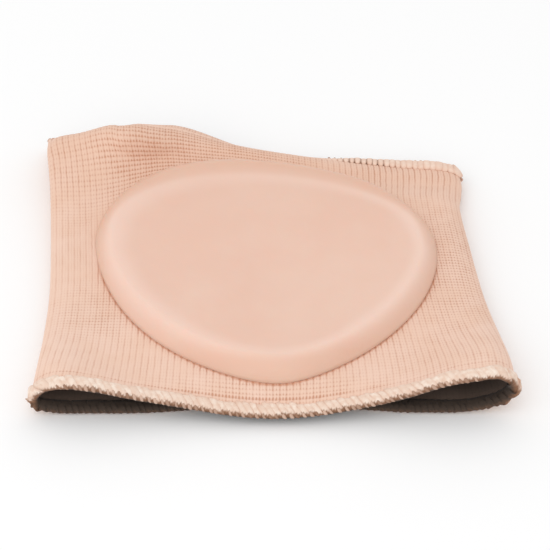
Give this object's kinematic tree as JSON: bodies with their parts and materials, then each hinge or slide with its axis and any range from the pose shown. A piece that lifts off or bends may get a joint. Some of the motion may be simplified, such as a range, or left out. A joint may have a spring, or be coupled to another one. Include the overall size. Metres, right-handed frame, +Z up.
{
  "type": "metatarsal sleeve",
  "caption": "Short ribbed knit tube for the forefoot, lying flat, with an egg-shaped gel pad bonded to its upper wall and an overlocked edging round each open end.",
  "frame": {"origin": "on the table, under the middle of the sleeve's box", "axes": "+X to the right across the sleeve, +Y from the front mouth to the rear mouth, +Z up"},
  "size_m": [0.0972, 0.0874, 0.0145],
  "materials": {
    "knit": "matt ribbed elastic knit, skin coloured",
    "gel": "soft satin gel, skin coloured",
    "thread": "pale overlock thread"
  },
  "bodies": {
    "root": {"knit_sleeve": "knit", "gel_pad": "gel", "front_edging": "thread", "rear_edging": "thread"}
  },
  "joints": []
}
